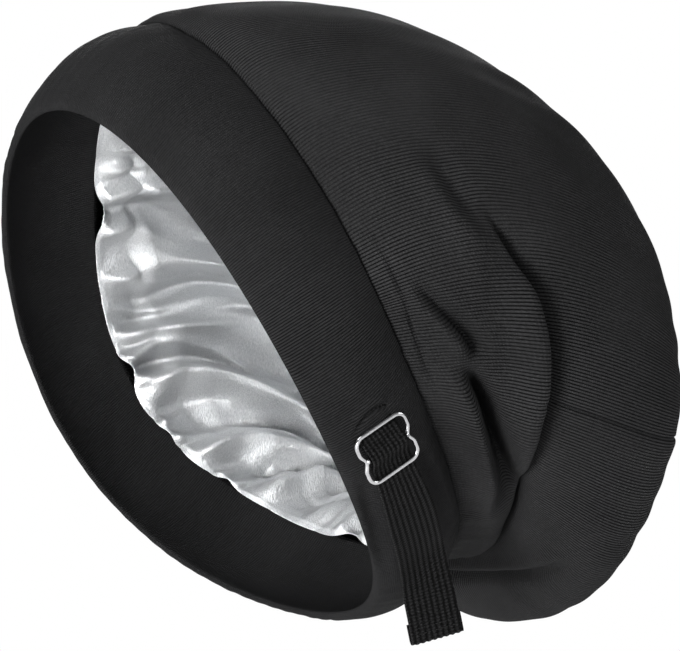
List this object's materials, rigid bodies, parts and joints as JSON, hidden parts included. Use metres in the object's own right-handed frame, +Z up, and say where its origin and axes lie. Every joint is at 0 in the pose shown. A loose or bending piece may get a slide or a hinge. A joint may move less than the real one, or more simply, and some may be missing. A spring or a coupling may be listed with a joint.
{
  "type": "sleep bonnet",
  "caption": "Slouchy jersey sleep bonnet with a wide folded band, a gathered satin lining and an elastic adjusting strap through a wire slide buckle.",
  "frame": {"origin": "centre of the head opening, in the plane of the band's rim", "axes": "+Z up as worn, the wearer faces -Y, and the wearer's left side is +X; the head opening slopes back 56 degrees"},
  "size_m": [0.2057, 0.2296, 0.2307],
  "materials": {
    "jersey": "fine rib jersey, matt",
    "satin": "smooth satin, bright sheen",
    "elastic": "ribbed woven elastic, matt",
    "steel": "polished wire"
  },
  "bodies": {
    "root": {"band": "jersey", "crown": "jersey", "lining": "satin", "strap": "elastic", "buckle": "steel"}
  },
  "joints": []
}
